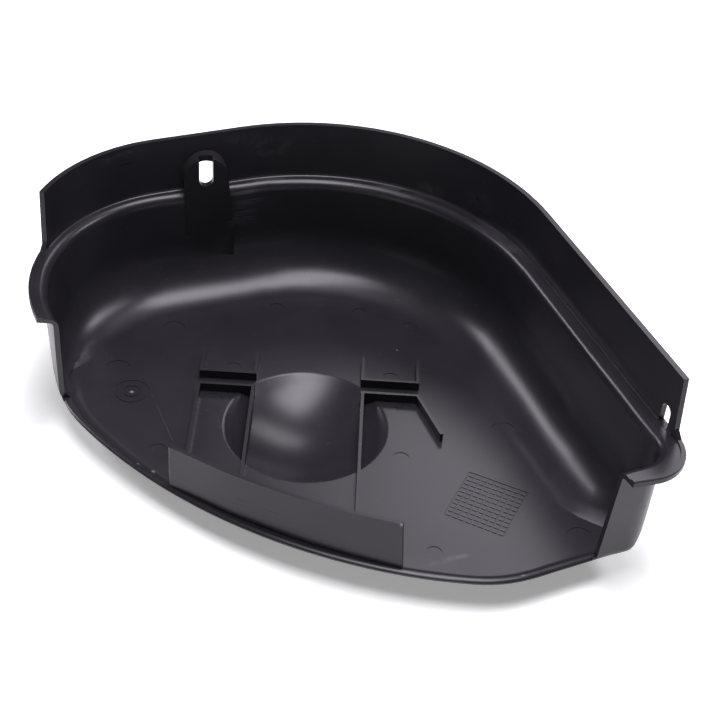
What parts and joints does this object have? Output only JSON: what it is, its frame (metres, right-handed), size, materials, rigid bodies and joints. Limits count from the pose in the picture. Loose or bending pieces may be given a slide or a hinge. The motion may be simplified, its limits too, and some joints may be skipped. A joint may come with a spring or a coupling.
{
  "type": "belt cover",
  "caption": "Open moulded plastic belt cover tray with a dished round well, stiffening ribs, raised back wall and two slots for mounting screws.",
  "frame": {"origin": "centre of the bounding box in plan, at the lowest point of the part (underside of the round well)", "axes": "+Z out of the open side of the tray, +Y from the open front towards the tall back wall, +X to the right along the cross ribs; floor parallel to XY"},
  "size_m": [0.2942, 0.2318, 0.0973],
  "materials": {
    "cover_plastic": "satin near-black moulded plastic with light scuffs and flow streaks"
  },
  "bodies": {
    "root": {"belt_cover": "cover_plastic"}
  },
  "joints": []
}
